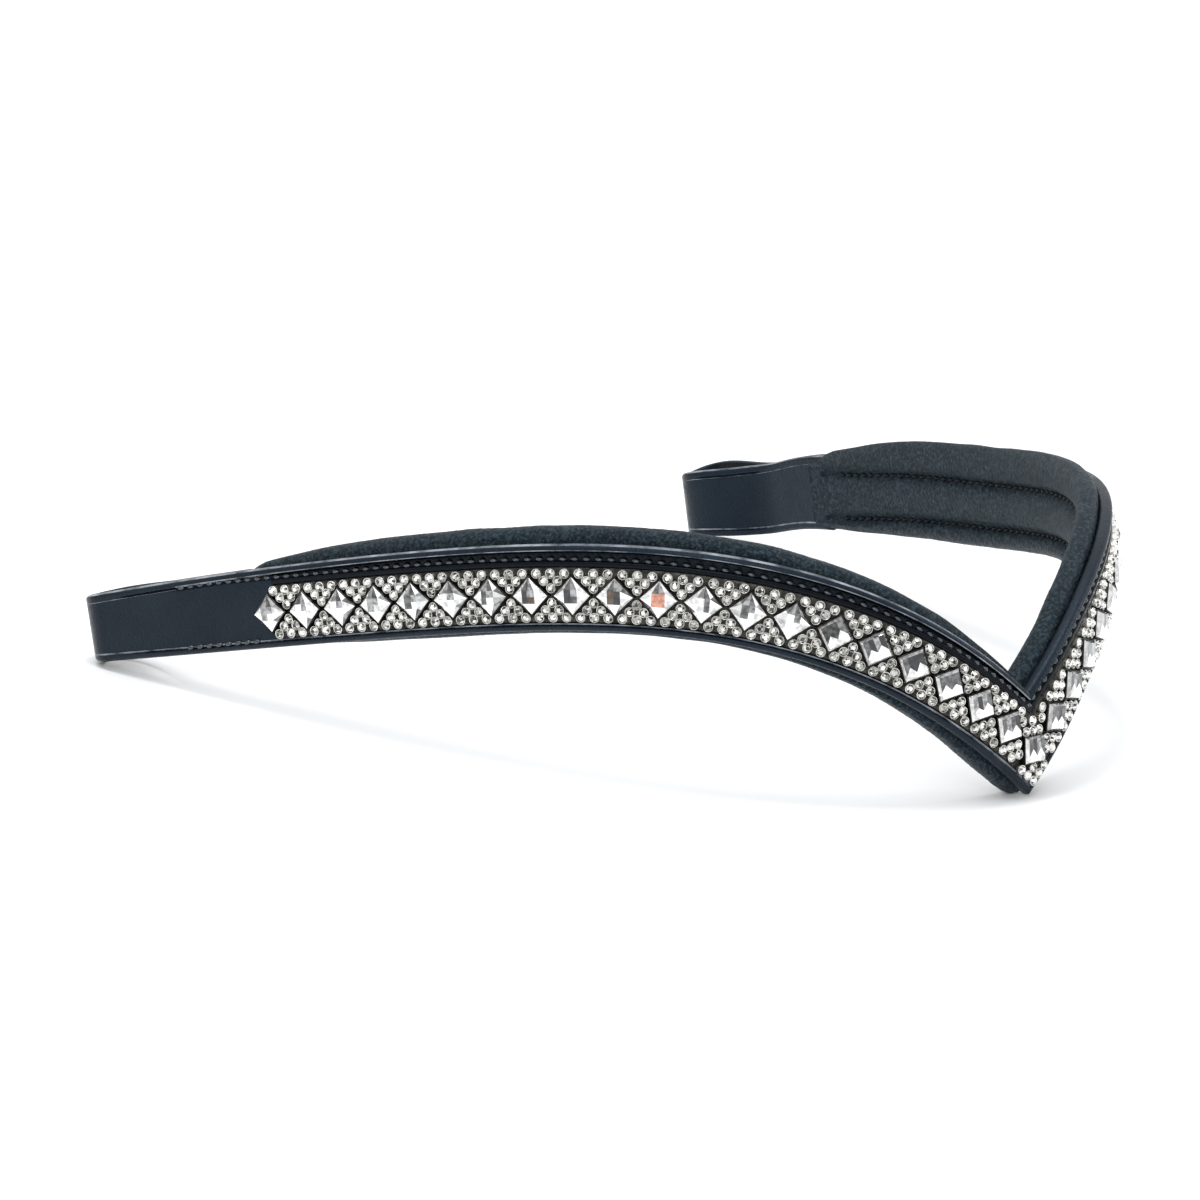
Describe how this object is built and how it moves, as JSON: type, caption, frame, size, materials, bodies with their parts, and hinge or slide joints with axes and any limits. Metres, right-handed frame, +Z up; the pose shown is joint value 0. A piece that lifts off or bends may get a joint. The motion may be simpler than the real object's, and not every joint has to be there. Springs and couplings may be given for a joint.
{
  "type": "padded v-shaped crystal browband of a snaffle bridle",
  "caption": "Padded black leather browband with a V front, a channel of square crystals and small round stones, and a stitched loop at each end.",
  "frame": {"origin": "centre of the browband's box on the surface it stands on, directly below the middle of the space between the arms", "axes": "+X to the horse's left as worn, the right-hand arm seen from in front of the V; -Y the way the crystals of the V face; +Z up from the surface it stands on, with the browband tipped back about 8 degrees from how it is worn so that it rests on the point of the V and the lower corners of both loops"},
  "size_m": [0.1666, 0.16, 0.0464],
  "materials": {
    "strap_leather": "smooth black bridle leather with a soft blue-grey sheen",
    "pad_leather": "soft fine-grained black padding leather",
    "channel_leather": "glossy black leather that lines the crystal channel and its stitch groove",
    "stone_setting": "aged silver cups and mesh between the stones",
    "crystal": "foil-backed clear cut crystal",
    "rhinestone": "small round foil-backed stones with a champagne tint",
    "black_thread": "waxed black thread",
    "nylon_web": "woven black nylon web, hidden inside",
    "foam": "soft grey foam, hidden inside",
    "filler_cord": "natural cotton filler cord, hidden inside"
  },
  "bodies": {
    "root": {"outer_strap": "strap_leather", "left_loop": "strap_leather", "right_loop": "strap_leather", "pad_cover": "pad_leather", "crystal_carrier": "stone_setting", "reinforcement_web": "nylon_web", "upper_foam": "foam", "middle_foam": "foam", "lower_foam": "foam", "upper_bead_cord": "filler_cord", "lower_bead_cord": "filler_cord", "channel_thread": "black_thread", "right_loop_thread": "black_thread", "left_loop_thread": "black_thread", "upper_quilting_thread": "black_thread", "lower_quilting_thread": "black_thread", "stone_01": "crystal", "stone_02": "crystal", "stone_03": "crystal", "stone_04": "crystal", "stone_05": "crystal", "stone_06": "crystal", "stone_07": "crystal", "stone_08": "crystal", "stone_09": "crystal", "stone_10": "crystal", "stone_11": "crystal", "stone_12": "crystal", "stone_13": "crystal", "stone_14": "crystal", "stone_15": "crystal", "stone_16": "crystal", "stone_17": "crystal", "stone_18": "crystal", "stone_19": "crystal", "stone_20": "crystal", "stone_21": "crystal", "stone_22": "crystal", "stone_23": "crystal", "stone_24": "crystal", "stone_25": "crystal", "stone_26": "crystal", "stone_27": "crystal", "stone_28": "crystal", "stone_29": "crystal", "stone_30": "crystal", "stone_31": "crystal", "stone_32": "crystal", "stone_33": "crystal", "stone_34": "crystal", "stone_35": "crystal", "stone_36": "crystal", "stone_37": "crystal", "stone_38": "crystal", "stone_39": "crystal", "stone_40": "crystal", "stone_41": "crystal"}
  },
  "joints": []
}
